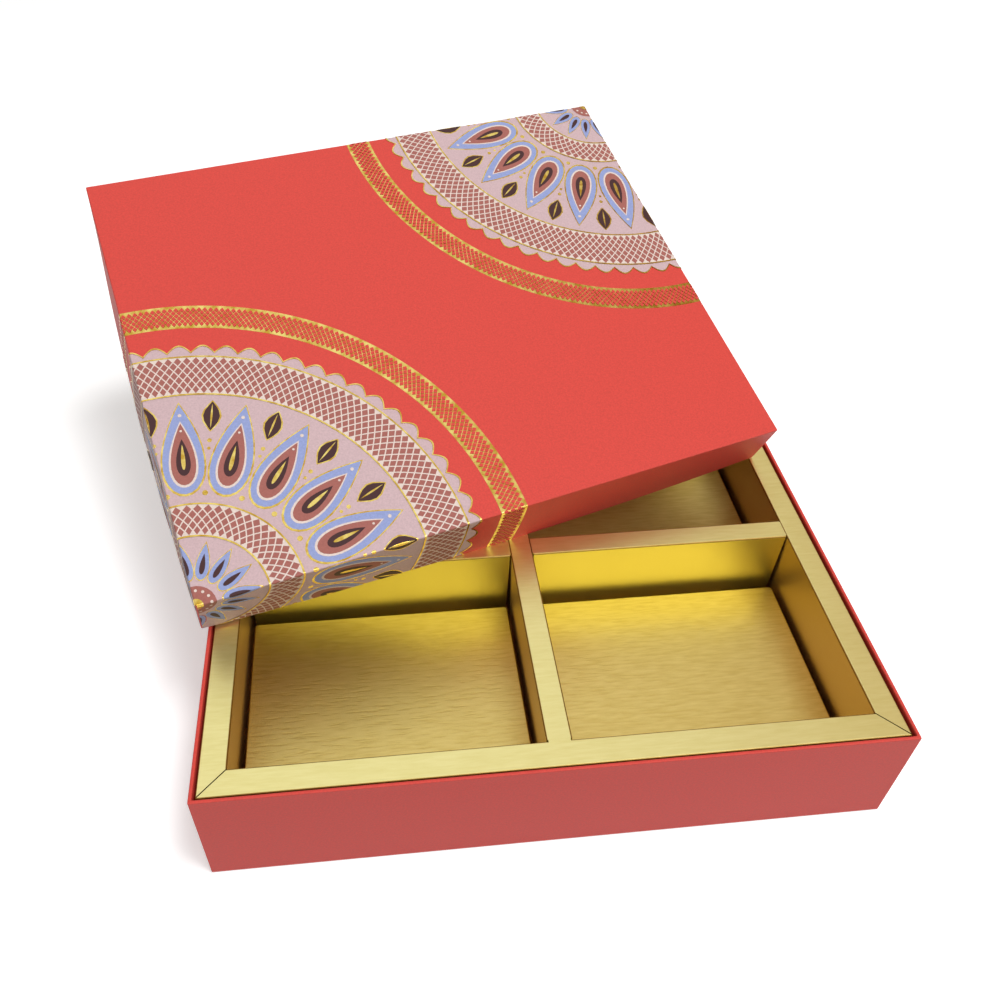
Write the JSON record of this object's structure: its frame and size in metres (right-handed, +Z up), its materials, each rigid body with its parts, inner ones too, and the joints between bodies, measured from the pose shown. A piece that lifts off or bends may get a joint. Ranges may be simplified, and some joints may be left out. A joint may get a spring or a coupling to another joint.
{
  "type": "dried fruit box",
  "caption": "Rigid wrapped-board gift box with a gold card insert that splits the tray into compartments with raised floors, and a printed lift-off lid laid askew on it.",
  "frame": {"origin": "centre of the tray's underside, on the surface that it stands on", "axes": "+Z up, +X along the tray's long side to the right, -Y towards the front"},
  "size_m": [0.308, 0.3255, 0.1492],
  "materials": {
    "greyboard": "matte grey chipboard",
    "stay_tape": "gummed kraft tape",
    "coral_paper": "matte laminated coral red",
    "printed_paper": "matte laminated coral red with print and gold hot foil",
    "lining_paper": "uncoated blush",
    "gold_card": "metallised satin gold with a fine embossed grain"
  },
  "bodies": {
    "base": {"base_bottom_board": "greyboard", "base_front_wall_board": "greyboard", "base_right_wall_board": "greyboard", "base_back_wall_board": "greyboard", "base_left_wall_board": "greyboard", "base_front_left_corner_stay": "stay_tape", "base_front_right_corner_stay": "stay_tape", "base_back_right_corner_stay": "stay_tape", "base_back_left_corner_stay": "stay_tape", "base_wrap": "coral_paper", "base_bottom_sheet": "coral_paper", "base_floor_lining": "lining_paper", "platform_front_left": "gold_card", "platform_front_right": "gold_card", "platform_back_right": "gold_card", "platform_back_left": "gold_card"},
    "insert": {"insert_front_rail": "gold_card", "insert_right_rail": "gold_card", "insert_back_rail": "gold_card", "insert_left_rail": "gold_card", "insert_long_divider": "gold_card", "insert_left_cross_divider": "gold_card", "insert_right_cross_divider": "gold_card"},
    "lid": {"lid_top_board": "greyboard", "lid_front_wall_board": "greyboard", "lid_right_wall_board": "greyboard", "lid_back_wall_board": "greyboard", "lid_left_wall_board": "greyboard", "lid_front_left_corner_stay": "stay_tape", "lid_front_right_corner_stay": "stay_tape", "lid_back_right_corner_stay": "stay_tape", "lid_back_left_corner_stay": "stay_tape", "lid_wrap": "printed_paper", "lid_lining": "lining_paper"}
  },
  "joints": [
    {"name": "insert_lift", "type": "slide", "parent": "base", "child": "insert", "axis": [0, 0, 1], "range_m": [0, 0.055]},
    {"name": "lid_lift", "type": "slide", "parent": "insert", "child": "lid", "axis": [0, 0, 1], "range_m": [0, 0.12]}
  ]
}
